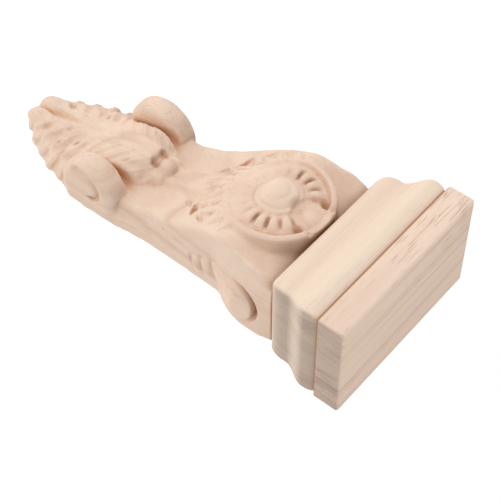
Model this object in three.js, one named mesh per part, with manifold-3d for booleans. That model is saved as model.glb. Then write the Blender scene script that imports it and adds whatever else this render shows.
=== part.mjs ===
// Carved wood corbel, unfinished. Millimetres, +Z up, the wall behind at y = 0 and the front at -Y.
// Three boards are glued together: a cap slab, a moulded block under it and the carved body.
import * as THREE from 'three';
import { mergeVertices } from 'three/addons/utils/BufferGeometryUtils.js';
import Module from 'manifold-3d';

// Driving dimensions
const slabWidth = 80;
const slabDepth = 46.4;
const slabThickness = 11.5;
const slabEdge = 1.1; // rounding of the slab's edges
const jointGap = 0.3; // glue line between two boards
const mouldingHeight = 25.8;
const slabOverhang = 9.6; // how far the slab stands out past the foot of the moulding
const mouldingCorner = 1.6; // rounding of the moulded block's front corners
const mouldingReveal = 0.5; // how far the slab stands out past the top of the moulding
const beadOut = 4.4; // how far the lower bead stands out
const beadHeight = 7.5;
const coveHeight = 11; // hollow between the bead and the upper bead
const topLip = 1.4; // how far the upper bead turns back in under the slab
const bodyLength = 156.7; // from the moulding to the tip of the leaf
const cornerRound = 2.2; // rounding of the body's front corners
const cutWidth = 1.5; // width of a knife cut: roll spirals, scroll hooks and the slits beside the leaf
const wallMountDrop = 98; // from the top of the slab to the middle of the wall mount

// Sizes that follow from them
const footHalf = slabWidth / 2 - slabOverhang;
const footDepth = slabDepth - slabOverhang;
const mouldingTop = slabThickness + jointGap;
const mouldingFoot = mouldingTop + mouldingHeight;
const bodyTop = mouldingFoot + jointGap;

// The carving keeps its proportions: lengths along the body are shares of its length,
// widths are shares of half its foot's width and depths are shares of its foot's depth.
const alongBody = (share) => bodyTop + share * bodyLength;
const across = (share) => share * footHalf;
const outward = (share) => share * footDepth;

// Places of the carving along the body
const rosetteAt = 0.140;
const scrollAt = 0.110;
const rollAt = 0.638;
const leafTipAt = 0.500;
const notchAt = 0.743; // a notch in the leaf's lobed edge
const lobePitch = 0.049; // from one notch to the next

const wasm = await Module();
wasm.setup();

// A smooth curve through a few [place, value] pairs
function curveThrough(pairs) {
  const slopes = pairs.map((pair, i) => {
    const before = pairs[Math.max(i - 1, 0)];
    const after = pairs[Math.min(i + 1, pairs.length - 1)];
    return (after[1] - before[1]) / (after[0] - before[0]);
  });
  return (place) => {
    let i = 0;
    while (i < pairs.length - 2 && place > pairs[i + 1][0]) i += 1;
    const span = pairs[i + 1][0] - pairs[i][0];
    const s = THREE.MathUtils.clamp((place - pairs[i][0]) / span, 0, 1);
    const rise = (3 - 2 * s) * s * s;
    const bend = s * (1 - s) * ((1 - s) * slopes[i] - s * slopes[i + 1]) * span;
    return pairs[i][1] + rise * (pairs[i + 1][1] - pairs[i][1]) + bend;
  };
}

const smoothStep = (low, high, t) => THREE.MathUtils.smoothstep(t, low, high);

// A smooth hump: 1 at t = 0, 0 from |t| = 1 on
const bump = (t) => Math.max(1 - t * t, 0) ** 2;

// Closed skin over rings of equal length; a ring's point is [x, distance out from the wall, drop from the top]
function loft(rings) {
  const positions = [];
  const place = (x, out, drop) => positions.push(x, -out, wallMountDrop - drop);
  rings.forEach((ring) => ring.forEach((p) => place(...p)));
  const n = rings[0].length;
  const index = [];
  for (let i = 0; i < rings.length - 1; i += 1) {
    for (let j = 0; j < n; j += 1) {
      const a = i * n + j;
      const b = i * n + ((j + 1) % n);
      index.push(a, b, a + n, b, b + n, a + n);
    }
  }
  [rings[0], rings[rings.length - 1]].forEach((ring, end) => {
    const middle = [0, 1, 2].map((k) => ring.reduce((sum, p) => sum + p[k], 0) / n);
    const centre = positions.length / 3;
    place(...middle);
    const first = end === 0 ? 0 : (rings.length - 1) * n;
    for (let j = 0; j < n; j += 1) {
      const edge = [first + j, first + ((j + 1) % n)];
      if (end === 0) edge.reverse();
      index.push(centre, edge[0], edge[1]);
    }
  });
  const geometry = new THREE.BufferGeometry();
  geometry.setAttribute('position', new THREE.Float32BufferAttribute(positions, 3));
  geometry.setIndex(index);
  return geometry;
}

function signedVolume(position, index) {
  const [a, b, c] = [new THREE.Vector3(), new THREE.Vector3(), new THREE.Vector3()];
  let total = 0;
  for (let i = 0; i < index.length; i += 3) {
    a.fromBufferAttribute(position, index[i]);
    b.fromBufferAttribute(position, index[i + 1]);
    c.fromBufferAttribute(position, index[i + 2]);
    total += a.dot(b.cross(c));
  }
  return total / 6;
}

function toSolid(geometry) {
  const bare = new THREE.BufferGeometry();
  bare.setAttribute('position', geometry.getAttribute('position').clone());
  bare.setIndex(geometry.index);
  const merged = mergeVertices(bare, 1e-4);
  const position = merged.getAttribute('position');
  const corners = [...merged.index.array];
  const triangles = [];
  for (let i = 0; i < corners.length; i += 3) {
    const [a, b, c] = corners.slice(i, i + 3);
    if (a !== b && b !== c && c !== a) triangles.push(a, b, c);
  }
  if (signedVolume(position, triangles) < 0) triangles.reverse();
  return new wasm.Manifold(new wasm.Mesh({
    numProp: 3,
    vertProperties: new Float32Array(position.array),
    triVerts: new Uint32Array(triangles),
  }));
}

function fromSolid(solid) {
  const { vertProperties, triVerts } = solid.getMesh();
  const geometry = new THREE.BufferGeometry();
  geometry.setAttribute('position', new THREE.Float32BufferAttribute(vertProperties, 3));
  geometry.setIndex([...triVerts]);
  geometry.computeVertexNormals();
  return geometry;
}

const mirrored = (geometry) => geometry.clone().scale(-1, 1, 1);
const bothSides = (geometries) => geometries.flatMap((g) => [g, mirrored(g)]);
const joined = (geometries) => geometries.map(toSolid).reduce((whole, piece) => whole.add(piece));

// Rectangle against the wall with rounded corners, as one ring at the given drop
function plan(halfWidth, back, depth, corner, drop, steps = 3) {
  const ring = [];
  const centres = [
    [-halfWidth + corner, depth - corner, Math.PI],
    [halfWidth - corner, depth - corner, Math.PI / 2],
  ];
  ring.push([-halfWidth, back, drop]);
  centres.forEach(([x, out, start]) => {
    for (let k = 0; k <= steps; k += 1) {
      const turn = start - (k / steps) * (Math.PI / 2);
      ring.push([x + corner * Math.cos(turn), out + corner * Math.sin(turn), drop]);
    }
  });
  ring.push([halfWidth, back, drop]);
  return ring;
}

// Cap slab: a plain board with softened edges
function capSlab() {
  const rings = [];
  const steps = 3;
  const ring = (inset, drop) => plan(slabWidth / 2 - inset, inset, slabDepth - inset, slabEdge, drop);
  for (let k = 0; k <= steps; k += 1) {
    const turn = (k / steps) * (Math.PI / 2);
    rings.push(ring(slabEdge * (1 - Math.sin(turn)), slabEdge * (1 - Math.cos(turn))));
  }
  for (let k = steps; k >= 0; k -= 1) {
    const turn = (k / steps) * (Math.PI / 2);
    const drop = slabThickness - slabEdge * (1 - Math.cos(turn));
    rings.push(ring(slabEdge * (1 - Math.sin(turn)), drop));
  }
  return loft(rings);
}

// How far the moulding stands out past its foot at a given height above the foot
function mouldingOut(height) {
  const top = slabOverhang - mouldingReveal;
  const coveStart = beadHeight * 1.25;
  const coveEnd = coveStart + coveHeight;
  if (height < beadHeight) {
    const s = 1 - height / beadHeight;
    return beadOut * Math.sqrt(1 - s * s);
  }
  if (height < coveStart) return beadOut;
  if (height < coveEnd) {
    const s = (height - coveStart) / coveHeight;
    return beadOut + (top - beadOut) * (s * s * (3 - 2 * s));
  }
  const s = (height - coveEnd) / (mouldingHeight - coveEnd);
  return top - topLip * s ** 3;
}

function capMoulding() {
  const steps = 26;
  const rings = [];
  for (let k = 0; k <= steps; k += 1) {
    const height = mouldingHeight * (1 - k / steps);
    const out = mouldingOut(height);
    rings.push(plan(footHalf + out, 0, footDepth + out, mouldingCorner, mouldingFoot - height, 2));
  }
  return loft(rings);
}

// Body: widths at the wall and at the front, and how far the front stands out
const wallHalf = curveThrough([[0, 1.02], [0.052, 1.066], [0.116, 1.046], [0.167, 0.944],
  [0.196, 0.862], [0.28, 0.842], [0.44, 0.838], [0.50, 0.862], [0.545, 0.895], [0.70, 0.895],
  [0.73, 0.83], [0.775, 0.76], [0.832, 0.69], [0.877, 0.59], [0.923, 0.47], [0.96, 0.28],
  [0.995, 0.06]]);
const frontHalf = curveThrough([[0, 1.03], [0.036, 1.02], [0.077, 0.995], [0.14, 0.955],
  [0.27, 0.875], [0.396, 0.805], [0.46, 0.75], [0.60, 0.74], [0.70, 0.70], [0.80, 0.5],
  [0.9, 0.34], [0.995, 0.04]]);
const frontOut = curveThrough([[0, 0.83], [0.036, 0.93], [0.077, 1.005], [0.122, 1.045],
  [0.16, 1.05], [0.20, 1.0], [0.245, 0.91], [0.29, 0.79], [0.345, 0.645], [0.396, 0.515],
  [0.46, 0.40], [0.52, 0.31], [0.66, 0.26], [0.78, 0.17], [0.9, 0.10], [0.995, 0.03]]);

// Leaves that trail from the rosette, each on a line from its centre:
// [turn from the middle line, reach, half width, height]
const trailingLeaves = [
  [0.0, across(1.17), across(0.165), outward(0.065)],
  [0.34, across(1.22), across(0.178), outward(0.087)],
  [0.64, across(1.10), across(0.165), outward(0.082)],
  [0.93, across(0.98), across(0.145), outward(0.071)],
  [1.20, across(0.90), across(0.125), outward(0.054)],
];

function leafHeight(x, down) {
  const r = Math.hypot(x, down);
  const turn = Math.atan2(Math.abs(x), down);
  const heights = trailingLeaves.map(([middle, reach, halfWidth, tall]) => {
    const point = THREE.MathUtils.clamp((reach - r) / (reach * 0.34), 0, 1) ** 0.5;
    const beside = ((turn - middle) * r) / (halfWidth * Math.max(point, 0.05));
    return tall * point * Math.sqrt(Math.max(1 - beside * beside, 0));
  });
  return Math.max(...heights) * smoothStep(across(0.45), across(0.70), r);
}

// How far the front stands out at x: dished between the rosette and the cap, then a raised
// tongue between two hollows down to the leaf, with the trailing leaves over them
function groundOut(x, share) {
  const down = (share - rosetteAt) * bodyLength;
  const dishReach = (Math.hypot(x, down) - across(0.80)) / across(0.30);
  const dish = outward(0.08) * bump(dishReach) * smoothStep(-across(0.13), across(0.33), -down);
  const fade = smoothStep(0.24, 0.30, share) * (1 - smoothStep(0.47, 0.53, share));
  const tongueHalf = across(0.217 - 0.046 * smoothStep(0.3, 0.5, share));
  const tongue = outward(0.04) * (1 - smoothStep(0.8, 1.2, Math.abs(x) / tongueHalf));
  const hollow = outward(0.04) * bump((Math.abs(x) - across(0.36)) / across(0.26));
  return outward(frontOut(share)) - dish + fade * (tongue - hollow) + leafHeight(x, down);
}

function bodyCore() {
  const rings = [];
  const stations = 60;
  const columns = 16;
  const cornerSteps = 3;
  for (let k = 0; k <= stations; k += 1) {
    const share = (k / stations) * 0.995;
    const half = across(frontHalf(share));
    const corner = Math.min(cornerRound, half * 0.6, outward(frontOut(share)) * 0.45);
    const rightSide = [[across(wallHalf(share)), 0]];
    for (let j = 0; j < cornerSteps; j += 1) {
      const turn = (j / cornerSteps) * (Math.PI / 2);
      const x = half - corner * (1 - Math.cos(turn));
      rightSide.push([x, groundOut(x, share) - corner * (1 - Math.sin(turn))]);
    }
    const ring = rightSide.map(([x, out]) => [-x, out, alongBody(share)]);
    for (let j = 0; j <= columns; j += 1) {
      const x = (half - corner) * ((2 * j) / columns - 1);
      ring.push([x, groundOut(x, share), alongBody(share)]);
    }
    rightSide.reverse().forEach(([x, out]) => ring.push([x, out, alongBody(share)]));
    rings.push(ring);
  }
  return loft(rings);
}

// A turned form standing out from the front at a place along the body
function turnedFront(profile, share, segments) {
  const points = profile.map(([r, out]) => new THREE.Vector2(r, out));
  const geometry = new THREE.LatheGeometry(points, segments);
  return geometry.rotateX(Math.PI).translate(0, 0, wallMountDrop - alongBody(share));
}

// A turned form on the right side, its axis across the body; profile [radius, x]
function turnedSide(profile, share, out, segments) {
  const points = profile.map(([r, x]) => new THREE.Vector2(r, x));
  const geometry = new THREE.LatheGeometry(points, segments);
  return geometry.rotateZ(-Math.PI / 2).translate(0, -out, wallMountDrop - alongBody(share));
}

function egg(x, out, share, sizeX, sizeOut, sizeUp, columns = 12, rows = 8) {
  const geometry = new THREE.SphereGeometry(1, columns, rows).rotateX(Math.PI / 2);
  geometry.scale(sizeX, sizeOut, sizeUp);
  return geometry.translate(x, -out, wallMountDrop - alongBody(share));
}

const rosetteRadius = across(0.724);
const rosetteRim = outward(1.115);

// The side of the rosette away from the cap leans back, more and more
function leanBack(geometry) {
  const position = geometry.getAttribute('position');
  const centre = wallMountDrop - alongBody(rosetteAt);
  for (let i = 0; i < position.count; i += 1) {
    const away = Math.max(centre - position.getZ(i), 0) / rosetteRadius;
    position.setY(i, position.getY(i) + outward(0.15) * away * away);
  }
  return geometry;
}

// Rosette: a drum with a raised rim, a ring of round petals and a stepped button
function rosette() {
  const floor = rosetteRim - outward(0.055);
  const buttonRadius = rosetteRadius * 0.45;
  const drum = turnedFront([
    [0, outward(0.5)],
    [rosetteRadius * 0.985, outward(0.5)],
    [rosetteRadius, rosetteRim - outward(0.03)],
    [rosetteRadius * 0.965, rosetteRim - outward(0.005)],
    [rosetteRadius * 0.92, rosetteRim],
    [rosetteRadius * 0.87, rosetteRim - outward(0.01)],
    [rosetteRadius * 0.83, floor],
    [buttonRadius * 1.05, floor],
    [buttonRadius * 0.97, rosetteRim + outward(0.02)],
    [buttonRadius * 0.8, rosetteRim + outward(0.055)],
    [buttonRadius * 0.72, rosetteRim + outward(0.065)],
    [buttonRadius * 0.5, rosetteRim + outward(0.115)],
    [buttonRadius * 0.25, rosetteRim + outward(0.13)],
    [0, rosetteRim + outward(0.135)],
  ], rosetteAt, 44);
  const petals = [];
  const petalCount = 18;
  const ringRadius = rosetteRadius * 0.62;
  for (let k = 0; k < petalCount; k += 1) {
    const turn = ((k + 0.5) / petalCount) * Math.PI * 2;
    const petal = new THREE.SphereGeometry(1, 7, 5);
    petal.scale(rosetteRadius * 0.19, outward(0.055), rosetteRadius * 0.10).rotateY(turn);
    petal.translate(ringRadius * Math.cos(turn), -floor, -ringRadius * Math.sin(turn));
    petals.push(petal.translate(0, 0, wallMountDrop - alongBody(rosetteAt)));
  }
  return [drum, ...petals].map(leanBack);
}

// Two barrel-shaped rolls at the lower end, with a spiral cut in their outer faces
const rollRadius = outward(0.412);
const rollOut = outward(0.205);
const rollOuter = across(0.875);
const rollInner = across(0.475);

function roll() {
  const wide = rollOuter - rollInner;
  return turnedSide([
    [0, rollInner],
    [rollRadius * 0.83, rollInner],
    [rollRadius * 0.90, rollInner + wide * 0.06],
    [rollRadius * 0.97, rollInner + wide * 0.22],
    [rollRadius, rollInner + wide * 0.45],
    [rollRadius * 0.985, rollInner + wide * 0.65],
    [rollRadius * 0.93, rollInner + wide * 0.84],
    [rollRadius * 0.86, rollInner + wide * 0.95],
    [rollRadius * 0.76, rollOuter],
    [0, rollOuter],
  ], rollAt, rollOut, 32);
}

// The slit between a roll and the leaf, as a solid to cut away
function leafSlit() {
  const slitRadius = rollRadius * 1.04;
  const slit = turnedSide([
    [0, rollInner - cutWidth * 0.6],
    [slitRadius, rollInner - cutWidth * 0.6],
    [slitRadius, rollInner + cutWidth * 0.4],
    [0, rollInner + cutWidth * 0.4],
  ], rollAt, rollOut, 32);
  const floorOut = outward(0.20);
  const size = slabWidth * 2;
  const room = new THREE.BoxGeometry(size, size, size).translate(0, -floorOut - size / 2, 0);
  return fromSolid(toSolid(slit).intersect(toSolid(room)));
}

const rollCutStart = -0.6; // turn at which the outer end of a roll's spiral starts
const scrollCutStart = 0.6; // the same for a side scroll's hook

// A spiral band as a solid, on the right side; it is cut into the faces of rolls and scrolls
function spiralCut(radius, turns, width, fromX, toX, share, out, start) {
  const steps = Math.round(14 * turns);
  const outline = [];
  const arm = (k, offset) => {
    const angle = start + (k / steps) * turns * Math.PI * 2;
    const r = radius * (1 - 0.72 * (k / steps)) + offset;
    outline.push(new THREE.Vector2(r * Math.cos(angle), r * Math.sin(angle)));
  };
  for (let k = 0; k <= steps; k += 1) arm(k, width / 2);
  for (let k = steps; k >= 0; k -= 1) arm(k, -width / 2);
  const shape = new THREE.Shape(outline);
  const geometry = new THREE.ExtrudeGeometry(shape, { depth: toX - fromX, bevelEnabled: false });
  geometry.rotateY(Math.PI / 2).translate(fromX, 0, 0);
  return geometry.translate(0, -out, wallMountDrop - alongBody(share));
}

// Side scroll near the wall: a low dome with a hooked cut around it
const scrollRadius = outward(0.245);
const scrollOut = outward(0.33);

function sideScroll() {
  const x = across(1.0);
  return turnedSide([
    [0, x * 0.7],
    [scrollRadius * 1.05, x * 0.7],
    [scrollRadius * 1.0, x * 1.01],
    [scrollRadius * 0.8, x * 1.05],
    [scrollRadius * 0.4, x * 1.075],
    [0, x * 1.085],
  ], scrollAt, scrollOut, 20);
}

// Leaf: a plump acanthus dome between the rolls, spreading beyond them into lobes at the wall
const leafHalf = curveThrough([[0.500, 0.20], [0.515, 0.33], [0.537, 0.42], [0.562, 0.465],
  [0.632, 0.475], [0.700, 0.49], [0.722, 0.70], [0.745, 0.81], [0.775, 0.775], [0.807, 0.755],
  [0.832, 0.715], [0.852, 0.66], [0.877, 0.605], [0.899, 0.555], [0.923, 0.49],
  [0.9375, 0.425], [0.963, 0.34], [0.982, 0.25], [1, 0.08]]);
const leafCrest = curveThrough([[0.500, 0.50], [0.525, 0.55], [0.562, 0.572], [0.632, 0.52],
  [0.706, 0.41], [0.779, 0.31], [0.856, 0.235], [0.907, 0.19], [0.951, 0.16], [0.983, 0.12],
  [1, 0.05]]);

function leaf() {
  const stations = 60;
  const columns = 16;
  const thinEdge = outward(0.02);
  const rings = [];
  for (let k = 0; k <= stations; k += 1) {
    const share = leafTipAt + (k / stations) * (1 - leafTipAt);
    const notch = (share - notchAt) / lobePitch;
    const spread = smoothStep(0.69, 0.755, share);
    const rounding = Math.max(spread, 0.5 * (1 - smoothStep(0.53, 0.59, share)));
    const lobe = Math.abs(Math.sin(Math.PI * notch));
    const half = across(leafHalf(share)) * (1 - spread * 0.12 * (1 - lobe) ** 1.6);
    const deepening = smoothStep(0.80, 0.9, share);
    const grooveHalf = across(0.033 + 0.072 * deepening);
    const grooveDeep = outward(0.016 + 0.062 * deepening);
    const tipRound = outward(0.12) * bump((share - leafTipAt) / 0.03);
    const ring = [];
    for (let j = 0; j <= columns; j += 1) {
      const side = (2 * j) / columns - 1;
      const u = Math.abs(side) ** 0.85;
      const flat = 1 - 0.15 * u ** 2;
      const dome = Math.max(1 - u ** 1.9, 0) ** 0.72;
      const finger = Math.abs(Math.sin(Math.PI * (notch + 2.1 * (1 - u ** 0.8))));
      const strength = smoothStep(0.10, 0.5, u) * (0.42 + 0.58 * spread);
      const lobes = strength * outward(0.06 * finger ** 0.6 - 0.04);
      const groove = grooveDeep * bump((half * u) / grooveHalf);
      const height = outward(leafCrest(share)) * (flat + (dome - flat) * rounding) + lobes - groove - tipRound;
      ring.push([half * u * Math.sign(side), Math.max(height, thinEdge), alongBody(share)]);
    }
    ring.push([half, 0, alongBody(share)]);
    ring.push([-half, 0, alongBody(share)]);
    rings.push(ring);
  }
  return loft(rings);
}

// The leaf's upper end curls over in a small knob, and its lower end in two lobes
function leafEnds() {
  const knob = egg(0, outward(0.405), 0.505, across(0.18), outward(0.155), across(0.18));
  const curl = egg(across(0.17), outward(0.36), 0.512, across(0.11), outward(0.12), across(0.14), 8, 6);
  const endLobe = egg(across(0.15), outward(0.08), 0.940, across(0.15), outward(0.115), 0.047 * bodyLength);
  return [knob, ...bothSides([curl, endLobe])];
}

function carvedBody() {
  const solid = joined([
    bodyCore(),
    ...rosette(),
    ...bothSides([roll(), sideScroll()]),
    leaf(),
    ...leafEnds(),
  ]);
  const deepCut = cutWidth * 2;
  const rollCut = spiralCut(rollRadius * 0.80, 0.8, cutWidth, rollOuter - cutWidth, rollOuter + deepCut,
    rollAt, rollOut, rollCutStart);
  const scrollFace = across(1.0);
  const scrollCut = spiralCut(scrollRadius * 1.1, 0.8, cutWidth, scrollFace - deepCut, scrollFace + deepCut,
    scrollAt, scrollOut, scrollCutStart);
  const cuts = joined(bothSides([rollCut, scrollCut, leafSlit()]));
  const wide = slabWidth * 2;
  const room = new THREE.BoxGeometry(wide, wide, bodyLength);
  room.translate(0, -wide / 2, wallMountDrop - bodyTop - bodyLength / 2);
  return fromSolid(solid.subtract(cuts).intersect(toSolid(room)));
}

const wood = (color) => new THREE.MeshStandardMaterial({ color, roughness: 0.75, metalness: 0 });

function named(name, geometry, color) {
  const mesh = new THREE.Mesh(geometry, wood(color));
  mesh.name = name;
  return mesh;
}

const group = new THREE.Group();
group.add(named('cap_slab', fromSolid(toSolid(capSlab())), 0xdcc3ac));
group.add(named('cap_moulding', fromSolid(toSolid(capMoulding())), 0xe2c9b0));
group.add(named('carved_body', carvedBody(), 0xdfc4b0));

export default group;
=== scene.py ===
"""Looks of the carved wood corbel: its three boards in bare wood, a pale floor, soft light and the camera."""
import math
from collections import namedtuple

import bpy
import numpy as np
import openvdb
from mathutils import Matrix, Vector


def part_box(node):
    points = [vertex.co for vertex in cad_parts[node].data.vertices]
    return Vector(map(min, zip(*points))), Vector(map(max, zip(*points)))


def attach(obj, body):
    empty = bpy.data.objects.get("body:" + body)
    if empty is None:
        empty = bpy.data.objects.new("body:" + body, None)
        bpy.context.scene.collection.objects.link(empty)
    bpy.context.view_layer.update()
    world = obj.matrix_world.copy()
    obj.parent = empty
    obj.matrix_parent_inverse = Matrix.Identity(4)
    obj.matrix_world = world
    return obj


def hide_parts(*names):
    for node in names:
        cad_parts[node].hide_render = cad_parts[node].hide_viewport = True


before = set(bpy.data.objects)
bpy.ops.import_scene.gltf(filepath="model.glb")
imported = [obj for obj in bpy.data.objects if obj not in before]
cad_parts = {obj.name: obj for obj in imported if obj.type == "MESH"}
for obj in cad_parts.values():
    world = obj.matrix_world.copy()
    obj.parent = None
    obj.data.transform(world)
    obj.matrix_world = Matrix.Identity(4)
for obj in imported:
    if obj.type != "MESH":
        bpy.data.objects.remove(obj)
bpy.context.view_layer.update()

# Sizes from the frame, in millimetres; x is across, out is away from the wall, down is from the body's top
MM = 0.001
slab_low, slab_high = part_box("cap_slab")
moulding_low, moulding_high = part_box("cap_moulding")
body_low, body_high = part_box("carved_body")
SLAB_HALF = slab_high.x / MM
SLAB_DEPTH = -slab_low.y / MM
MOULDING_HEIGHT = (moulding_high.z - moulding_low.z) / MM
BODY_LENGTH = (body_high.z - body_low.z) / MM
BODY_TOP = body_high.z / MM

# Sizes of the boards' profiles, as in the solids
SLAB_OVERHANG = 9.6
SLAB_EDGE = 1.1
SLAB_BACK_EASE = 0.6
MOULDING_CORNER = 1.6
MOULDING_REVEAL = 0.5
BEAD_OUT = 4.4
BEAD_HEIGHT = 7.5
BEAD_FLAT = 0.25
COVE_HEIGHT = 11.0
TOP_LIP = 1.4
CORNER_ROUND = 2.2
FOOT_HALF = SLAB_HALF - SLAB_OVERHANG
FOOT_DEPTH = SLAB_DEPTH - SLAB_OVERHANG

# Carving, as in the solids: places along the body, as shares of its length
ROSETTE_AT = 0.140
SCROLL_AT = 0.110
ROLL_AT = 0.638
LEAF_TIP_AT = 0.500
NOTCH_AT = 0.743
LOBE_PITCH = 0.049

# Places and sizes outward from the wall, as shares of the foot's depth
ROSETTE_OUT = 1.115
ROSETTE_DEPTH = 0.055
ROSETTE_BASE_OUT = 0.5
SCROLL_OUT = 0.33
SCROLL_RADIUS = 0.245
ROLL_OUT = 0.205
ROLL_RADIUS = 0.412
CREVICE_FLOOR_OUT = 0.30

# Places and sizes across, as shares of the foot's half width
ROSETTE_RADIUS = 0.724
ROLL_INNER = 0.475
ROLL_OUTER = 0.875

# Parts of the rosette: the number of petals, and places and sizes as shares of its radius
PETAL_COUNT = 18
RIM_AT = 0.925
RIM_HALF = 0.095
PETALS_AT = 0.62
PETALS_HALF = 0.25
BUTTON_RADIUS = 0.45
ROUND_PETAL_AT = 0.69
ROUND_PETAL_RADIUS = 0.225
HOLLOW_AT = 0.40
HOLLOW_RADIUS = 0.17

# Fine grooves beside the rim: place and half width as shares of the rosette's radius, depth
RIM_GROOVES = ((0.845, 0.03, 0.8), (0.945, 0.022, 0.5))
# Leaves that trail from the rosette: angle from the middle, reach across, width and height
TRAILING_LEAVES = ((0.0, 1.17, 5.0, 2.76), (0.34, 1.22, 5.4, 3.68), (0.64, 1.10, 5.0, 3.45),
                   (0.93, 0.98, 4.4, 2.99), (1.20, 0.90, 3.8, 2.30))
# Chisel cuts at the leaves' lower ends and between them: x, place along, lean, length, width, depth
CHISEL_CUTS = ((15.6, 0.326, -1.1, 4.4, 1.3, 2.6), (20.4, 0.280, -0.7, 3.6, 1.1, 1.6),
               (11.2, 0.368, -0.5, 3.2, 1.0, 1.5), (12.0, 0.258, 0.55, 4.6, 1.3, 2.4),
               (4.6, 0.335, 0.2, 4.0, 1.0, 1.2))
# Drilled pits beside the round petal: across, up and radius as shares of the rosette's radius, and depth
PETAL_PITS = ((0.37, 0.70, 0.11, 3.6), (0.32, 0.90, 0.08, 1.4))
# Eyes where the long leaf's lobes meet: x, place along, size, depth
LEAF_EYES = ((8.4, 0.534, 1.3, 1.7), (9.4, 0.590, 1.1, 1.2), (9.6, 0.772, 1.0, 2.2),
             (12.6, 0.822, 0.85, 1.4), (7.4, 0.898, 1.2, 1.4), (5.2, 0.826, 0.8, 0.9))
# Fine rings on the side scroll: share of its radius, depth
SCROLL_RINGS = ((0.80, 0.30), (0.60, 0.45), (0.38, 0.30))
# Soft lobes that follow on from the side scroll: place out, place along, radius
SIDE_LOBES = ((0.34, 0.188, 3.7), (0.27, 0.228, 3.5), (0.21, 0.264, 3.0))
# Long grooves on the sides: place out, depth
SIDE_GROOVES = ((0.14, 0.45), (0.20, 0.55), (0.27, 0.40), (0.34, 0.25))

# How far the hand-cut surface strays, and the step of the grid that the carving is worked out on
UNEVENNESS = 0.07
GRID_STEP = 0.58


def across(share):
    return share * FOOT_HALF


def outward(share):
    return share * FOOT_DEPTH


def along(share):
    return share * BODY_LENGTH


# Egg shapes that are joined to the body or cut from it

Egg = namedtuple("Egg", "x out down half_x half_out half_down")


def egg(x, out, down, half_x, half_out, half_down):
    """An egg from shares of the body's sizes; half_down alone is in millimetres."""
    return Egg(across(x), outward(out), along(down), across(half_x), outward(half_out), half_down)


CREVICE_POCKET = egg(ROLL_INNER, 0.40, 0.566, 0.062, 0.115, along(0.020))
END_LOBE = egg(0.15, 0.08, 0.940, 0.15, 0.115, along(0.047))
KNOB_HOLLOW = egg(0, 0.60, 0.498, 0.22, 0.18, across(0.21))
KNOB = egg(0, 0.375, 0.503, 0.165, 0.165, across(0.165))
KNOB_CURL = egg(0.15, 0.34, 0.508, 0.11, 0.12, across(0.13))
KNOB_PIT = egg(0.095, 0.50, 0.531, 0.038, 0.065, across(0.046))
LEAF_PIT = egg(0.26, 0.55, 0.531, 0.05, 0.09, across(0.07))
KNOB_UNDERCUT = egg(0.08, 0.27, 0.474, 0.18, 0.05, across(0.08))


def curve_through(pairs):
    """A smooth curve through a few (place, value) pairs, for a number or an array."""
    places = np.array([p[0] for p in pairs], float)
    values = np.array([p[1] for p in pairs], float)
    low = np.maximum(np.arange(len(pairs)) - 1, 0)
    high = np.minimum(np.arange(len(pairs)) + 1, len(pairs) - 1)
    slopes = (values[high] - values[low]) / (places[high] - places[low])

    def value(place):
        i = np.clip(np.searchsorted(places, place) - 1, 0, len(pairs) - 2)
        span = places[i + 1] - places[i]
        s = np.clip((place - places[i]) / span, 0, 1)
        rise = (3 - 2 * s) * s * s
        bend = s * (1 - s) * ((1 - s) * slopes[i] - s * slopes[i + 1]) * span
        return values[i] + rise * (values[i + 1] - values[i]) + bend

    return value


# Outlines of the body and the leaf: place along, then half width or height as a share of the foot's
wall_half = curve_through([(0, 1.02), (0.052, 1.066), (0.116, 1.046), (0.167, 0.944),
                           (0.196, 0.862), (0.28, 0.842), (0.44, 0.838), (0.50, 0.862),
                           (0.545, 0.895), (0.70, 0.895), (0.73, 0.83), (0.775, 0.76),
                           (0.832, 0.69), (0.877, 0.59), (0.923, 0.47), (0.96, 0.28),
                           (0.995, 0.06)])
front_half = curve_through([(0, 1.03), (0.036, 1.02), (0.077, 0.995), (0.14, 0.955),
                            (0.27, 0.875), (0.396, 0.805), (0.46, 0.75), (0.60, 0.74),
                            (0.70, 0.70), (0.80, 0.5), (0.9, 0.34), (0.995, 0.04)])
front_out = curve_through([(0, 0.83), (0.036, 0.93), (0.077, 1.005), (0.122, 1.045),
                           (0.16, 1.05), (0.20, 1.0), (0.245, 0.91), (0.29, 0.79),
                           (0.345, 0.645), (0.396, 0.515), (0.46, 0.40), (0.52, 0.31),
                           (0.66, 0.26), (0.78, 0.17), (0.9, 0.10), (0.995, 0.03)])
leaf_half = curve_through([(0.500, 0.20), (0.515, 0.33), (0.537, 0.42), (0.562, 0.465),
                           (0.632, 0.475), (0.700, 0.49), (0.722, 0.70), (0.745, 0.81),
                           (0.775, 0.775), (0.807, 0.755), (0.832, 0.715), (0.852, 0.66),
                           (0.877, 0.605), (0.899, 0.555), (0.923, 0.49), (0.9375, 0.425),
                           (0.963, 0.34), (0.982, 0.25), (1, 0.08)])
leaf_crest = curve_through([(0.500, 0.50), (0.525, 0.55), (0.562, 0.572), (0.632, 0.52),
                            (0.706, 0.41), (0.779, 0.31), (0.856, 0.235), (0.907, 0.19),
                            (0.951, 0.16), (0.983, 0.12), (1, 0.05)])


# Joining and cutting of distances, and soft shapes of a number

def join(a, b, blend):
    """Union of two solids, each given by its distance, with a fillet."""
    h = np.maximum(blend - np.abs(a - b), 0) / blend
    return np.minimum(a, b) - h * h * blend * 0.25


def both(a, b, blend):
    """What two solids share, with a rounded edge."""
    return -join(-a, -b, blend)


def cut(a, b, blend):
    """Solid a less solid b, with a rounded edge."""
    return both(a, -b, blend)


def bump(t):
    """A smooth hump: 1 at t = 0, 0 from |t| = 1 on."""
    s = np.clip(1 - t * t, 0, 1)
    return s * s


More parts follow.
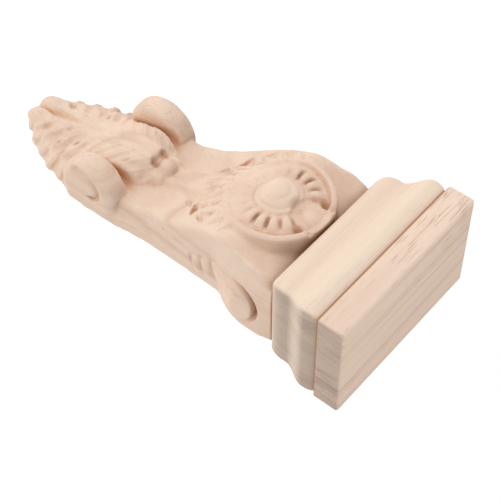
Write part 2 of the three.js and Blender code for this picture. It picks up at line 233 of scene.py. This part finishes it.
def smooth_step(low, high, t):
    """From 0 at low to 1 at high."""
    s = np.clip((t - low) / (high - low), 0, 1)
    return s * s * (3 - 2 * s)


def stretch(rise, fall, t):
    """1 between two ends: it rises over the pair rise and falls over the pair fall."""
    return smooth_step(*rise, t) * (1 - smooth_step(*fall, t))


def dome(t):
    """A half circle's height at t, 0 from |t| = 1 on."""
    return np.sqrt(np.clip(1 - t ** 2, 0, 1))


def facing(turn, toward):
    """How far an angle faces another: 1 along it, 0 from a right angle on."""
    return np.clip(np.cos(turn - toward), 0, 1)


def height_distance(out, height, step):
    """Distance to a relief that stands height out from the wall, height being worked out on (x, down)."""
    slope_x, slope_down = np.gradient(height, step)
    steep = np.sqrt(1 + slope_x ** 2 + slope_down ** 2)
    return (out - height[:, None, :]) / steep[:, None, :]


def egg_distance(x, out, down, shape):
    q = np.sqrt(((x - shape.x) / shape.half_x) ** 2 + ((out - shape.out) / shape.half_out) ** 2
                + ((down - shape.down) / shape.half_down) ** 2)
    return (q - 1) * min(shape.half_x, shape.half_out, shape.half_down)


# Reliefs, worked out on (x, down); heights are from the wall, in millimetres

def pointed_lobe(x, down, x0, down0, turn, length, width, height):
    """Height of a pointed lobe with a groove down its middle, around (x0, down0)."""
    groove = 0.35
    c, s = math.cos(turn), math.sin(turn)
    a = ((x - x0) * s + (down - down0) * c) / length
    b = ((x - x0) * c - (down - down0) * s) / width
    reach = np.clip(1 - a * a, 0, 1)
    return height * np.sqrt(np.clip(reach - b * b, 0, 1)) * (1 - groove * bump(b / groove) * reach)


def trailing_leaves(x, up, r):
    """Height of the leaves that fan out from the rosette's centre, above the ground."""
    serration_pitch, serration_depth = 3.6, 0.22
    vein_half, vein_depth = 0.24, 0.42
    point_share, leaf_spread = 0.34, 0.6
    turn = np.arctan2(x, -up)
    serration = 1 - serration_depth * (1 - np.abs(np.sin(np.pi * r / serration_pitch)))
    leaves = np.zeros_like(r)
    for middle, reach, width, tall in TRAILING_LEAVES:
        far = across(reach)
        beside = (turn - middle) * r / (width * serration)
        point = np.clip((far - r) / (far * point_share), 0, 1) ** 0.5
        vein = 1 - vein_depth * bump(beside / vein_half)
        leaf = tall * dome(beside / np.maximum(point, 0.05)) * point * vein
        leaves = np.maximum(leaves, leaf * (np.abs(turn - middle) < leaf_spread))
    return leaves


def body_relief(x, down):
    """Height of the body's front, with the leaves that trail from the rosette."""
    crown, dish_depth, tongue_rise = 0.4, 3.0, 1.5
    share = down / BODY_LENGTH
    half = across(front_half(share))
    ground = outward(front_out(share)) - crown * (x / half) ** 2
    # the ground is dished between the rosette and the cap
    up = along(ROSETTE_AT) - down
    r = np.hypot(x, up)
    dish = bump((r - across(0.80)) / across(0.30))
    ground = ground - dish_depth * dish * smooth_step(-4, 10, up)
    # a raised tongue with a hollow on each side, from the rosette to the leaf's tip
    fade = stretch((0.24, 0.30), (0.47, 0.53), share)
    tongue_half = 6.6 - 1.4 * smooth_step(0.3, 0.5, share)
    hollow_at, hollow_half = 11.0, 8.0
    height = ground + fade * tongue_rise * (1 - smooth_step(0.8, 1.2, x / tongue_half))
    height = height - fade * tongue_rise * bump((x - hollow_at) / hollow_half)
    height = height + trailing_leaves(x, up, r) * smooth_step(across(0.45), across(0.70), r)
    for x0, share0, lean, length, width, deep in CHISEL_CUTS:
        height = height - pointed_lobe(x, down, x0, along(share0), lean, length, width, deep)
    return height


def rosette_petals(ring, turn, clear, strong):
    """Height of the ring of petals above the rosette's floor, less the cuts between them."""
    petal_rise, swell, cut_depth = 1.8, 1.2, 2.8
    wave = np.abs(np.sin(turn * PETAL_COUNT / 2))
    band = bump((ring - PETALS_AT) / PETALS_HALF)
    petals = (0.45 + 0.55 * clear) * petal_rise * band * (0.3 + 0.7 * wave ** 0.6)
    # they swell towards the button
    petals = petals + swell * clear * bump((ring - 0.55) / 0.30)
    # the cuts are deepest near the petals' roots
    cuts = np.clip(1 - wave / 0.60, 0, 1) * bump((ring - PETALS_AT) / (0.10 + 0.10 * strong)) ** 0.8
    return petals - cut_depth * cuts * strong


def with_button(height, r, turn, radius, rim):
    """The relief with the button on it: a low dome in a collar."""
    collar_drop, collar_rise, button_rise = 1.6, 3.6, 1.5
    button = radius * BUTTON_RADIUS
    collar = rim - collar_drop + collar_rise * dome(r / button) ** 0.8
    height = np.where(r < button, np.maximum(height, collar), height)
    inner = button * 0.80
    height = height - 0.4 * bump((r - inner) / 1.0)
    height = height + button_rise * np.clip(1 - (r / inner) ** 2, 0, 1)
    return height - 0.35 * bump((r - button * 0.45) / 1.2) * np.clip(np.sin(turn + 0.5), 0, 1)


def with_cap_side(height, x, up, radius, floor_height):
    """The relief with what it has towards the cap: a hollow, a large round petal and pits on each side."""
    hollow_depth, petal_rise, ledge = 1.9, 1.9, 0.2
    hollow = np.hypot(x, up - radius * HOLLOW_AT)
    height = height - hollow_depth * bump(hollow / (radius * HOLLOW_RADIUS))
    petal = np.hypot(x, up - radius * ROUND_PETAL_AT)
    plain = bump(petal / (radius * 0.36)) ** 0.25
    height = height * (1 - plain) + plain * np.minimum(height, floor_height + ledge)
    petal_radius = radius * ROUND_PETAL_RADIUS
    petal_height = floor_height + petal_rise * dome(petal / petal_radius) ** 1.5
    height = np.where(petal < petal_radius, np.maximum(height, petal_height), height)
    for place, rise, size, deep in PETAL_PITS:
        pit = np.hypot(x - radius * place, up - radius * rise)
        height = height - deep * bump(pit / (radius * size))
    return height


def rosette_relief(x, down):
    """Distance from the rosette's centre, and its height: rim, petals, button."""
    radius = across(ROSETTE_RADIUS)
    rim = outward(ROSETTE_OUT)
    floor_height = rim - outward(ROSETTE_DEPTH)
    up = along(ROSETTE_AT) - down
    r = np.hypot(x, up)
    turn = np.arctan2(up, x)
    ring = r / radius
    # the side towards the leaf is softer and leans back into the trailing leaves
    clear = smooth_step(-0.70, 0.15, up / radius)
    faintest = 0.14
    by_hand = 0.78 + 0.22 * np.sin(turn * 5.3 + 1.1)
    strong = faintest + (1 - faintest) * smooth_step(-0.32, 0.06, up / radius) * by_hand
    # a rim with fine grooves beside it
    rim_bump = bump((ring - RIM_AT) / RIM_HALF) ** 0.6
    height = floor_height + (0.30 + 0.70 * clear) * (rim - floor_height) * rim_bump
    for place, size, deep in RIM_GROOVES:
        height = height - deep * clear * bump((ring - place) / size)
    height = height + rosette_petals(ring, turn, clear, strong)
    # a gouge where the rim runs out into the leaves
    gouge_depth, gouge_ring, gouge_turn = 1.1, 0.97, -0.75
    height = height - gouge_depth * bump((ring - gouge_ring) / 0.09) * bump((turn - gouge_turn) / 0.42)
    height = with_button(height, r, turn, radius, rim)
    height = with_cap_side(height, x, up, radius, floor_height)
    lean_back = 0.0115
    return r, height - lean_back * np.clip(-up, 0, None) ** 2


def leaf_relief(x, down):
    """Half width and height of the leaf: a plump dome between the rolls, wide and lobed beyond them."""
    share = np.clip(down / BODY_LENGTH, LEAF_TIP_AT, 1)
    notch = (share - NOTCH_AT) / LOBE_PITCH
    spread = smooth_step(0.69, 0.755, share)
    notch_depth = 0.12 * (1 - np.abs(np.sin(np.pi * notch))) ** 1.6
    half = across(leaf_half(share)) * (1 - spread * notch_depth)
    u = np.clip(np.abs(x) / half, 0, 1)
    flat = 1 - 0.15 * u ** 2
    round_over = np.clip(1 - u ** 1.9, 0, 1) ** 0.72
    rounding = np.maximum(spread, 0.5 * (1 - smooth_step(0.53, 0.59, share)))
    height = outward(leaf_crest(share)) * (flat + (round_over - flat) * rounding)
    # lobes that fan out from the middle, with fine ridges on them
    lobe_rise, lobe_drop, ridge_rise, ridges_per_lobe = 2.2, 1.5, 0.20, 6
    fan = notch + 2.1 * (1 - u ** 0.8)
    finger = np.abs(np.sin(np.pi * fan))
    strength = smooth_step(0.10, 0.5, u) * smooth_step(0.50, 0.58, share) * (0.42 + 0.58 * spread)
    height = height + strength * (lobe_rise * finger ** 0.6 - lobe_drop)
    height = height + ridge_rise * np.cos(np.pi * fan * ridges_per_lobe) * smooth_step(0.1, 0.3, u)
    # a groove down the middle, wider towards the lower end, with a soft ridge beside it
    ridge_at, ridge_half, ridge_height = 3.2, 2.4, 0.6
    deepening = smooth_step(0.80, 0.9, share)
    groove_depth = 0.6 + 2.3 * deepening
    groove_half = 1.0 + 2.2 * deepening
    height = height - groove_depth * bump(x / groove_half)
    height = height + ridge_height * bump((x - ridge_at) / ridge_half)
    # the eyes are short slanting gouges
    slant_sin, slant_cos = 0.53, 0.85
    for x0, share0, size, deep in LEAF_EYES:
        a = (x - x0) * slant_sin - (down - along(share0)) * slant_cos
        b = (x - x0) * slant_cos + (down - along(share0)) * slant_sin
        height = height - deep * bump(np.hypot(a, b * 0.5) / (size * 1.3))
    # the leaf falls away towards the knob
    fall, fall_length, fall_half, least = 3.4, 5.0, 9.0, 0.8
    height = height - fall * bump((down - along(0.512)) / fall_length) * bump(x / fall_half)
    return half, np.maximum(height, least)


def side_scroll(out, down):
    """How far the scroll stands proud of the side: a low dome in a hooked cut, with fine rings."""
    rise, cut_depth, hook_turn, ring_half = 1.9, 4.0, 1.1, 0.09
    radius = outward(SCROLL_RADIUS)
    away = out - outward(SCROLL_OUT)
    up = along(SCROLL_AT) - down
    r = np.hypot(away, up)
    turn = np.arctan2(up, away)
    proud = rise * dome(r / radius)
    # the cut is deepest towards the cap
    width = 0.085 + 0.06 * facing(turn, hook_turn)
    hook = bump((r - radius * 1.05) / (radius * width))
    swing = 0.12 + 0.88 * facing(turn, 1.15) ** 1.6
    proud = proud - cut_depth * hook * swing * smooth_step(-0.9, -0.2, np.cos(turn - hook_turn))
    for size, deep in SCROLL_RINGS:
        proud = proud - deep * bump((r - radius * size) / (radius * ring_half)) * facing(turn, 0.5)
    return proud


def side_depth(out, down):
    """How far the carving on a side stands proud of it, worked out on (out, down)."""
    share = down / BODY_LENGTH
    proud = side_scroll(out, down)
    # soft lobes follow on from the scroll, each nearer the wall, with a curved cut beside it
    lobe_rise, lobe_stretch, lobe_lean, cut_depth, cut_half = 0.6, 1.8, 0.25, 0.7, 1.1
    for level, place, size in SIDE_LOBES:
        lobe_out = (out - outward(level)) / lobe_stretch
        lobe_down = down - along(place) - lobe_lean * (out - outward(level))
        lobe_r = np.hypot(lobe_out, lobe_down)
        proud = proud + lobe_rise * bump(lobe_r / size)
        cut_side = facing(np.arctan2(lobe_out, lobe_down), 0.5)
        proud = proud - cut_depth * bump((lobe_r - size) / cut_half) * cut_side
    # long grooves that follow the wall
    groove_half, groove_drift = 0.9, 0.05
    run = stretch((0.27, 0.36), (0.5, 0.56), share)
    for level, deep in SIDE_GROOVES:
        line = outward(level - groove_drift * smooth_step(0.3, 0.55, share))
        proud = proud - deep * run * bump((out - line) / groove_half)
    # a long step that runs down to the roll
    step_depth = 0.6
    step_line = outward(0.30 - 0.20 * smooth_step(0.40, 0.58, share))
    run = stretch((0.30, 0.42), (0.60, 0.64), share)
    return proud - step_depth * run * smooth_step(-1.5, 0.3, out - step_line)


# The carved body as a distance on (x, out, down), negative inside. Both sides are alike, so x is never
# negative. Blends and edge rounds are in millimetres

def core_distance(x, out, down, step):
    """The S-curved block with the reliefs of its front and sides."""
    side_slope = 0.95
    share = down / BODY_LENGTH
    front = height_distance(out, body_relief(x[:, :, 0], down[:, 0, :]), step)
    lean = np.clip(out / outward(front_out(share)), 0, 1)
    half = across(wall_half(share) + (front_half(share) - wall_half(share)) * lean)
    proud = side_depth(out[0, :, :], down[0, :, :])[None, :, :]
    return both(front, (x - half - proud) * side_slope, CORNER_ROUND)


def rosette_distance(x, out, down, step):
    """The rosette's disc, which reaches down into the block."""
    edge_round, base_round = 0.9, 0.5
    r, height = rosette_relief(x[:, :, 0], down[:, 0, :])
    beyond = (r - across(ROSETTE_RADIUS))[:, None, :]
    disc = both(beyond, height_distance(out, height, step), edge_round)
    return both(disc, outward(ROSETTE_BASE_OUT) - out, base_round)


def leaf_distance(x, out, down, step):
    """The long leaf, from its curled tip to the body's lower end."""
    edge_round, tip_round, end_round, end_gap = 3.0, 5.0, 1.2, 0.2
    half, height = leaf_relief(x[:, :, 0], down[:, 0, :])
    beside = (x[:, :, 0] - half)[:, None, :]
    leaf = both(height_distance(out, height, step), beside, edge_round)
    leaf = both(leaf, along(LEAF_TIP_AT) - down, tip_round)
    return both(leaf, down - BODY_LENGTH + end_gap, end_round)


def roll_and_crevice(x, out, down):
    """Distances to a roll with the spiral in its outer face, and to the cut between it and the leaf."""
    outer_round, inner_round, groove_round = 3.0, 2.4, 0.4
    barrel_drop, groove_depth, lip_depth = 2.3, 2.2, 0.25
    radius = outward(ROLL_RADIUS)
    away = out - outward(ROLL_OUT)
    up = along(ROLL_AT) - down
    r = np.hypot(away, up)
    turn = np.arctan2(up, away)
    outer, inner = across(ROLL_OUTER), across(ROLL_INNER)
    barrel = np.abs((x - (inner + outer) / 2) / (outer - inner) * 2)
    roll = both(r - radius + barrel_drop * barrel ** 3, x - outer, outer_round)
    roll = both(roll, inner - x, inner_round)
    # the spiral opens into a step towards the wall
    spiral_r = radius * (0.80 - 0.16 * turn - 0.07 * np.maximum(turn, 0) ** 2)
    inside = spiral_r - r
    groove = smooth_step(-0.7, 0.3, inside) * (1 - 0.9 * smooth_step(0.4, 5.0, inside))
    groove = groove * smooth_step(-0.95, -0.25, turn)
    lip = bump((inside - 4.6) / 1.2) * stretch((0.1, 0.9), (1.9, 2.6), turn)
    roll = both(roll, x - (outer - groove_depth * groove - lip_depth * lip), groove_round)
    # the cut is widest towards the cap
    slit_half = 0.30 + 0.50 * smooth_step(-0.3, 0.6, turn) + 0.7 * smooth_step(0.45, 0.95, turn)
    slit_at, reach = inner - 0.4, radius * 1.02
    mouth_round, floor_round = 0.6, 1.5
    crevice = both(np.abs(x - slit_at) - slit_half, r - reach, mouth_round)
    return roll, both(crevice, outward(CREVICE_FLOOR_OUT) - out, floor_round)


def hand_cut_waves(x, out, down):
    """Slow waves, as a hand tool leaves them, between about -1.6 and 1.6."""
    wide = np.sin(x / 2.3 + 1.7 * np.sin(down / 5.1))
    long = np.sin(down / 2.9 + 1.3 * np.sin(x / 3.7 + out / 6.1))
    fine = np.sin(down / 1.5 + out / 2.2 + 1.1 * np.sin(x / 2.1))
    return wide * long + 0.6 * fine


def carved_distance(x, out, down, step):
    """Distance to the whole carved body."""
    body = core_distance(x, out, down, step)
    body = join(body, rosette_distance(x, out, down, step), 1.4)
    roll, crevice = roll_and_crevice(x, out, down)
    body = join(body, leaf_distance(x, out, down, step), 0.9)
    body = join(body, roll, 0.9)
    body = cut(body, crevice, 1.0)
    # the crevice ends in a pocket towards the cap, and the leaf in a lobe on each side
    body = cut(body, egg_distance(x, out, down, CREVICE_POCKET), 1.0)
    body = join(body, egg_distance(x, out, down, END_LOBE), 0.6)
    # the leaf's curled tip: a knob in a hollow, with a small curl and pits on each side
    body = cut(body, egg_distance(x, out, down, KNOB_HOLLOW), 1.6)
    knob = join(egg_distance(x, out, down, KNOB), egg_distance(x, out, down, KNOB_CURL), 0.8)
    body = join(body, knob, 1.2)
    for pit, blend in ((KNOB_PIT, 1.2), (LEAF_PIT, 2.0), (KNOB_UNDERCUT, 0.8)):
        body = cut(body, egg_distance(x, out, down, pit), blend)
    body = body + UNEVENNESS * hand_cut_waves(x, out, down)
    # flat back and flat top
    back_round = 0.6
    body = both(body, -out, back_round)
    return np.maximum(body, -down)


# Meshes, in metres, in the frame

def new_mesh(name, points, faces):
    mesh = bpy.data.meshes.new(name)
    mesh.from_pydata(points, [], faces)
    mesh.validate()
    mesh.update()
    return mesh


def carved_mesh(step):
    """The carved body's surface, kept inside the box of its solid."""
    margin = 2 * step
    band = 4 * step
    room_in_front = 8
    x = np.arange(0, SLAB_HALF + margin, step)
    out = np.arange(-margin, SLAB_DEPTH + room_in_front, step)
    down = np.arange(-margin, BODY_LENGTH + 3 * margin, step)
    half = carved_distance(x[:, None, None], out[None, :, None], down[None, None, :], step)
    whole = np.concatenate([half[:0:-1], half]).astype(np.float32)
    grid = openvdb.FloatGrid(background=band)
    grid.copyFromArray(np.clip(whole, -band, band))
    points, triangles, quads = grid.convertToPolygons(isovalue=0.0, adaptivity=0.0)
    place = points * step
    place[:, 0] -= (len(x) - 1) * step
    place[:, 1] += out[0]
    place[:, 2] += down[0]
    vertices = np.stack([place[:, 0], -place[:, 1], BODY_TOP - place[:, 2]], axis=1) * MM
    vertices = np.clip(vertices, np.array(body_low), np.array(body_high))
    faces = [tuple(f) for f in triangles.tolist()] + [tuple(f) for f in quads.tolist()]
    return new_mesh("corbel_body", vertices.tolist(), faces)


def plan(half_width, depth, corner, z, steps, back=0.0):
    """Ring of a board's outline against the wall, corners rounded, in millimetres."""
    ring = [(-half_width, -back, z)]
    for x0, start in ((-half_width + corner, math.pi), (half_width - corner, math.pi / 2)):
        for k in range(steps + 1):
            turn = start - k / steps * math.pi / 2
            ring.append((x0 + corner * math.cos(turn),
                         -(depth - corner + corner * math.sin(turn)), z))
    ring.append((half_width, -back, z))
    return ring


def mesh_of_rings(name, rings):
    """A closed mesh through rings of equal length, from the upper one down."""
    n = len(rings[0])
    points = [tuple(c * MM for c in p) for ring in rings for p in ring]
    faces = []
    for i in range(len(rings) - 1):
        for j in range(n):
            a, b = i * n + j, i * n + (j + 1) % n
            faces.append((a, a + n, b + n, b))
    faces.append(tuple(range(n)))
    last = (len(rings) - 1) * n
    faces.append(tuple(last + j for j in reversed(range(n))))
    return new_mesh(name, points, faces)


def slab_mesh():
    """The slab, with its edges rounded above and below."""
    steps = 6
    rounding = [k / steps * math.pi / 2 for k in range(steps + 1)]
    top, bottom = slab_high.z / MM, slab_low.z / MM

    def ring(turn, edge, inward):
        inset = SLAB_EDGE * (1 - math.sin(turn))
        z = edge + inward * SLAB_EDGE * (1 - math.cos(turn))
        return plan(SLAB_HALF - inset, SLAB_DEPTH - inset, SLAB_EDGE, z, steps, inset * SLAB_BACK_EASE)

    upper = [ring(turn, top, -1) for turn in rounding]
    lower = [ring(turn, bottom, 1) for turn in reversed(rounding)]
    return mesh_of_rings("corbel_slab", upper + lower)


def moulding_out(height):
    """How far the moulding stands out past its foot, at a height above the foot."""
    top = SLAB_OVERHANG - MOULDING_REVEAL
    cove_start = BEAD_HEIGHT * (1 + BEAD_FLAT)
    cove_end = cove_start + COVE_HEIGHT
    if height < BEAD_HEIGHT:
        return BEAD_OUT * math.sqrt(1 - (1 - height / BEAD_HEIGHT) ** 2)
    if height < cove_start:
        return BEAD_OUT
    if height < cove_end:
        s = (height - cove_start) / COVE_HEIGHT
        return BEAD_OUT + (top - BEAD_OUT) * (s * s * (3 - 2 * s))
    s = (height - cove_end) / (MOULDING_HEIGHT - cove_end)
    return top - TOP_LIP * s ** 3


def moulding_mesh():
    """The moulded block: a bead, a hollow and a bead, returned round the sides."""
    steps, corner_steps = 90, 8
    foot = moulding_low.z / MM
    rings = []
    for k in range(steps + 1):
        height = MOULDING_HEIGHT * (1 - k / steps)
        out = moulding_out(height)
        rings.append(plan(FOOT_HALF + out, FOOT_DEPTH + out, MOULDING_CORNER, foot + height, corner_steps))
    return mesh_of_rings("corbel_moulding", rings)


# Bare wood, with painted shade in its hollows and along the joint lines between the boards

WHITE = (1.0, 1.0, 1.0)
PORE_BROWN = (0.40, 0.24, 0.15)
# Painted shade for the joint lines between the boards: dark at the line, warm beside it
JOINT_SHADE_DARK = (0.40, 0.26, 0.17)
JOINT_SHADE_WARM = (0.80, 0.68, 0.57)
# Painted shade for the hollows: warmer and darker where ambient occlusion finds them
HOLLOW_SHADE_WARM = (0.97, 0.80, 0.66)
HOLLOW_SHADE_PALE = (1.0, 0.975, 0.94)
HOLLOW_SHADE_REACH = 5 * MM
JOINT_SHADE = 1.1 * MM
SLAB_JOINT = slab_low.z
BODY_JOINT = moulding_low.z


def wood_material(name, grain_axis, light, mid, dark, seed, ring_scale, pore_strength, end_contrast, joints):
    """Pale open-pored wood; the grain runs along one axis, with painted shade along the joint lines at the
    given heights and in the hollows.
    """
    material = bpy.data.materials.new(name)
    material.use_nodes = True
    nodes, links = material.node_tree.nodes, material.node_tree.links
    shader = nodes["Principled BSDF"]
    shader.inputs["Roughness"].default_value = 0.74
    shader.inputs["Specular IOR Level"].default_value = 0.25
    coordinates = nodes.new("ShaderNodeTexCoord")
    place = coordinates.outputs["Object"]

    def mapped(scale, shift):
        mapping = nodes.new("ShaderNodeMapping")
        mapping.inputs["Scale"].default_value = scale
        mapping.inputs["Location"].default_value = (seed + shift, seed * 0.7 - shift, shift * 1.3)
        links.new(place, mapping.inputs["Vector"])
        return mapping.outputs["Vector"]

    def stretched(along_grain, across_grain, shift):
        scale = [across_grain] * 3
        scale["XYZ".index(grain_axis)] = along_grain
        return mapped(scale, shift)

    def noise(vector, detail, rough=0.5, distortion=0.0):
        node = nodes.new("ShaderNodeTexNoise")
        node.inputs["Scale"].default_value = 1.0
        node.inputs["Detail"].default_value = detail
        node.inputs["Roughness"].default_value = rough
        node.inputs["Distortion"].default_value = distortion
        links.new(vector, node.inputs["Vector"])
        return node.outputs["Fac"]

    def ramp(value, stops):
        node = nodes.new("ShaderNodeValToRGB")
        elements = node.color_ramp.elements
        while len(elements) < len(stops):
            elements.new(0.5)
        for element, (position, color) in zip(elements, stops):
            element.position = position
            element.color = (*color, 1) if isinstance(color, tuple) else (color, color, color, 1)
        links.new(value, node.inputs["Fac"])
        return node.outputs["Color"]

    def mixed(kind, factor, a, b):
        node = nodes.new("ShaderNodeMix")
        node.data_type = "RGBA"
        node.blend_type = kind
        if isinstance(factor, float):
            node.inputs["Factor"].default_value = factor
        else:
            links.new(factor, node.inputs["Factor"])
        for value, socket in ((a, node.inputs[6]), (b, node.inputs[7])):
            if isinstance(value, tuple):
                socket.default_value = (*value, 1)
            else:
                links.new(value, socket)
        return node.outputs[2]

    def math_node(kind, a, b=None):
        node = nodes.new("ShaderNodeMath")
        node.operation = kind
        links.new(a, node.inputs[0])
        if b is not None:
            node.inputs[1].default_value = b
        return node.outputs[0]

    def bump_node(strength, distance, height, below=None, inward=False):
        node = nodes.new("ShaderNodeBump")
        node.invert = inward
        node.inputs["Strength"].default_value = strength
        node.inputs["Distance"].default_value = distance
        links.new(height, node.inputs["Height"])
        if below is not None:
            links.new(below, node.inputs["Normal"])
        return node.outputs["Normal"]

    # growth rings: layers one behind the other, wavering slowly along the grain
    rings = noise(mapped(ring_scale, 1.0), 2.0, 0.4, 0.5)
    base = ramp(rings, [(0.32, dark), (0.44, mid), (0.54, light), (0.66, light), (0.76, mid)])
    # fine fibre streaks
    fibre = noise(stretched(22, 1100, 3.0), 3.0, 0.6)
    base = mixed("MULTIPLY", 0.6, base, ramp(fibre, [(0.32, 0.90), (0.62, 1.0)]))
    # broad wavering figure
    figure = noise(mapped([c * 0.45 for c in ring_scale], 17.0), 1.0, 0.4, 1.6)
    base = mixed("MIX", ramp(figure, [(0.44, 0.0), (0.50, 0.5), (0.56, 0.0)]), base, mid)
    # slow pinkish drift
    drift = noise(stretched(9, 26, 7.0), 2.0)
    pink = (light[0] * 0.96, light[1] * 0.90, light[2] * 0.90)
    base = mixed("MIX", ramp(drift, [(0.38, 0.0), (0.7, 0.55)]), base, pink)
    # open pores: short brown dashes along the grain, in patches
    pores = noise(stretched(110, 1700, 5.0), 1.0, 0.5)
    pore_mask = ramp(pores, [(0.63, 0.0), (0.70, 1.0)])
    where = noise(stretched(14, 70, 9.0), 2.0)
    pore_mask = mixed("MULTIPLY", 1.0, pore_mask, ramp(where, [(0.40, 0.10), (0.62, 1.0)]))
    level = (pore_strength, pore_strength, pore_strength)
    base = mixed("MIX", mixed("MULTIPLY", 1.0, pore_mask, level), base, PORE_BROWN)
    # end grain is darker, with its growth rings more marked
    normal = nodes.new("ShaderNodeSeparateXYZ")
    links.new(coordinates.outputs["Normal"], normal.inputs[0])
    toward_end = math_node("POWER", math_node("ABSOLUTE", normal.outputs["XYZ".index(grain_axis)]), 4.0)
    tones = [(0.34, -1.0), (0.47, 0.0), (0.56, 0.8), (0.70, -0.3)]
    end_rings = ramp(rings, [(position, 0.64 + end_contrast * tone) for position, tone in tones])
    end_tone = mixed("MULTIPLY", 1.0, end_rings, (1.0, 0.985, 0.99))
    base = mixed("MIX", toward_end, base, mixed("MULTIPLY", 1.0, base, end_tone))
    # painted shade: hollows and crevices are darkened and warmed through ambient occlusion
    shelter = nodes.new("ShaderNodeAmbientOcclusion")
    shelter.samples = 12
    shelter.inputs["Distance"].default_value = HOLLOW_SHADE_REACH
    painted_hollow_shade = ramp(shelter.outputs["AO"], [(0.25, HOLLOW_SHADE_WARM), (0.65, HOLLOW_SHADE_PALE), (0.90, WHITE)])
    base = mixed("MULTIPLY", 1.0, base, painted_hollow_shade)
    # painted shade along the joint lines between the boards, dark at the line and warm beside it, where the
    # gap falls into shadow
    height = nodes.new("ShaderNodeSeparateXYZ")
    links.new(place, height.inputs[0])
    for joint in joints:
        near = math_node("ABSOLUTE", math_node("SUBTRACT", height.outputs["Z"], joint))
        share = math_node("MULTIPLY", near, 1 / JOINT_SHADE)
        base = mixed("MULTIPLY", 1.0, base, ramp(share, [(0.0, JOINT_SHADE_DARK), (0.5, JOINT_SHADE_WARM), (1.0, WHITE)]))
    links.new(base, shader.inputs["Base Color"])
    # bump of tool marks, fibres and pores
    tool_marks = bump_node(0.35, 0.3 * MM, noise(stretched(420, 620, 13.0), 2.0, 0.6))
    tooth = bump_node(0.4, 0.12 * MM, fibre, below=tool_marks)
    open_pores = bump_node(0.5, 0.15 * MM, pore_mask, below=tooth, inward=True)
    links.new(open_pores, shader.inputs["Normal"])
    return material


def piece(name, mesh, node, material, sharp_from=None):
    """A visible piece in place of a node; edges from the angle sharp_from on stay sharp."""
    obj = bpy.data.objects.new(name, mesh)
    bpy.context.scene.collection.objects.link(obj)
    mesh.materials.clear()
    mesh.materials.append(material)
    mesh.polygons.foreach_set("use_smooth", [True] * len(mesh.polygons))
    mesh.update()
    if sharp_from is not None:
        mesh.set_sharp_from_angle(angle=math.radians(sharp_from))
    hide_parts(node)
    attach(obj, "root")


# Floor, light and camera

def floor():
    """A wide white floor that glows a little, so that it stays white."""
    size, drop = 30.0, 0.42
    corners = [(-size, -size, -drop), (size, -size, -drop), (size, size, -drop), (-size, size, -drop)]
    mesh = new_mesh("floor", corners, [(0, 1, 2, 3)])
    obj = bpy.data.objects.new("floor", mesh)
    bpy.context.scene.collection.objects.link(obj)
    material = bpy.data.materials.new("floor_white")
    material.use_nodes = True
    shader = material.node_tree.nodes["Principled BSDF"]
    shader.inputs["Base Color"].default_value = (0.95, 0.95, 0.95, 1)
    shader.inputs["Roughness"].default_value = 0.9
    shader.inputs["Emission Color"].default_value = (1, 1, 1, 1)
    shader.inputs["Emission Strength"].default_value = 0.62
    mesh.materials.append(material)


def soft_light(name, place, target, size, power):
    data = bpy.data.lights.new(name, "AREA")
    data.shape = "DISK"
    data.size = size
    data.energy = power
    obj = bpy.data.objects.new(name, data)
    obj.location = place
    obj.rotation_euler = (Vector(target) - Vector(place)).to_track_quat("-Z", "Y").to_euler()
    bpy.context.scene.collection.objects.link(obj)


def white_world(strength):
    world = bpy.data.worlds.new("studio")
    world.use_nodes = True
    background = world.node_tree.nodes["Background"]
    background.inputs["Color"].default_value = (1, 1, 1, 1)
    background.inputs["Strength"].default_value = strength
    bpy.context.scene.world = world


CAMERA_PLACE = Vector((0.2749, -0.4362, 0.2507))
CAMERA_TARGET = Vector((0.0, 0.0028, 0.0240))
CAMERA_ROLL = math.radians(122.6)
CAMERA_LENS = 101.8


def camera():
    data = bpy.data.cameras.new("camera")
    data.sensor_width = 36
    data.lens = CAMERA_LENS
    data.clip_start, data.clip_end = 0.01, 100
    obj = bpy.data.objects.new("camera", data)
    look = (CAMERA_TARGET - CAMERA_PLACE).to_track_quat("-Z", "Y").to_matrix().to_4x4()
    obj.matrix_world = Matrix.Translation(CAMERA_PLACE) @ look @ Matrix.Rotation(CAMERA_ROLL, 4, "Z")
    bpy.context.scene.collection.objects.link(obj)
    bpy.context.scene.camera = obj


# The pieces, each in its own wood

body_wood = wood_material(
    "carved_wood", grain_axis="Z", light=(0.84, 0.650, 0.512), mid=(0.80, 0.600, 0.468),
    dark=(0.73, 0.520, 0.400), seed=2.3, ring_scale=(45, 160, 4), pore_strength=0.30,
    end_contrast=0.08, joints=(BODY_JOINT,))
moulding_wood = wood_material(
    "moulding_wood", grain_axis="X", light=(0.84, 0.684, 0.545), mid=(0.81, 0.645, 0.508),
    dark=(0.77, 0.595, 0.462), seed=11.9, ring_scale=(4, 150, 30), pore_strength=0.25,
    end_contrast=0.03, joints=(SLAB_JOINT, BODY_JOINT))
slab_wood = wood_material(
    "slab_wood", grain_axis="X", light=(0.85, 0.668, 0.535), mid=(0.81, 0.615, 0.490),
    dark=(0.74, 0.535, 0.420), seed=5.1, ring_scale=(5, 300, 60), pore_strength=0.50,
    end_contrast=0.06, joints=(SLAB_JOINT,))

piece("corbel_body", carved_mesh(GRID_STEP), "carved_body", body_wood)
piece("corbel_moulding", moulding_mesh(), "cap_moulding", moulding_wood, sharp_from=40)
piece("corbel_slab", slab_mesh(), "cap_slab", slab_wood, sharp_from=40)

floor()
white_world(0.39)
soft_light("key", place=(-0.40, -1.10, 0.75), target=(0, -0.02, 0), size=0.8, power=5.6)
soft_light("top", place=(0.15, 0.45, 1.20), target=(0, 0, 0.08), size=0.8, power=4.4)
soft_light("fill", place=(1.25, -0.5, 0.5), target=(0, 0, 0), size=1.2, power=2.4)
camera()
bpy.context.scene.view_settings.view_transform = "Standard"
